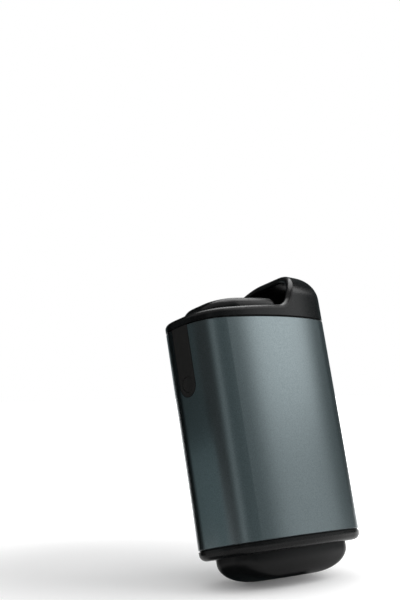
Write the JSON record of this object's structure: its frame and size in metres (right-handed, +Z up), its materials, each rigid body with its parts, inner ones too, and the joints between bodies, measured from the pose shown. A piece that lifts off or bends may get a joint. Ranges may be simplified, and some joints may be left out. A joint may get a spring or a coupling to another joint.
{
  "type": "rechargeable hand warmer",
  "caption": "Pocket hand warmer: bowed aluminium sleeve between a black cap with a carry arch and a soft foot, with a press button and a flip-up socket cover.",
  "frame": {"origin": "middle of the flat underside of the foot", "axes": "+Z up along the body; X across the width, with the control strip at -X and the carry arch at +X; the front face towards -Y"},
  "size_m": [0.06, 0.0348, 0.1047],
  "materials": {
    "anodised_aluminium": "bead-blasted, satin anodised blue-grey",
    "cap_black": "fine-textured black moulding",
    "soft_black": "matte black elastomer",
    "strip_black": "satin smoked black",
    "gasket_black": "matte black silicone",
    "steel": "plain steel",
    "cell_wrap": "shrink-wrapped can",
    "nickel": "nickel strip",
    "insulating_paper": "fibre paper",
    "carrier_plastic": "moulded, heat resistant",
    "heater_film": "polyimide film",
    "insulating_foam": "foam pad",
    "circuit_board": "solder mask",
    "chip_black": "moulded package",
    "ferrite": "sintered ferrite",
    "capacitor_can": "drawn can",
    "led_white": "clear resin over phosphor",
    "clear_guide": "clear moulding",
    "lead_red": "silicone insulation",
    "lead_white": "silicone insulation"
  },
  "bodies": {
    "warmer": {"heat_sleeve": "anodised_aluminium", "top_cap": "cap_black", "hinge_pin": "steel", "control_strip": "strip_black", "base_ring": "cap_black", "bumper_foot": "soft_black", "top_gasket": "gasket_black", "base_gasket": "gasket_black", "tact_switch": "chip_black", "indicator_leds": "led_white", "light_guide": "clear_guide", "cell_left": "cell_wrap", "cell_right": "cell_wrap", "cell_insulators": "insulating_paper", "bus_bar_top": "nickel", "bus_bar_bottom": "nickel", "carrier_front": "carrier_plastic", "carrier_back": "carrier_plastic", "heater_front": "heater_film", "heater_back": "heater_film", "pad_front": "insulating_foam", "pad_back": "insulating_foam", "thermistor": "chip_black", "main_board": "circuit_board", "usb_c_port": "steel", "power_inductor": "ferrite", "control_chips": "chip_black", "capacitors": "capacitor_can", "battery_leads": "lead_red", "heater_leads": "lead_white", "cap_screws": "steel", "base_screws": "steel", "board_screws": "steel"},
    "button": {"power_button": "strip_black", "switch_plunger": "chip_black"},
    "cover": {"port_cover": "cap_black", "cover_seal": "gasket_black"}
  },
  "joints": [
    {"name": "button_press", "type": "slide", "parent": "warmer", "child": "button", "axis": [1, 0, 0], "range_m": [0, 0.0004], "stiffness_N_per_m": 1500},
    {"name": "cover_hinge", "type": "hinge", "parent": "warmer", "child": "cover", "pos_m": [0.0006, 0, 0.0913], "axis": [0, 1, 0], "range_deg": [0, 110]}
  ]
}
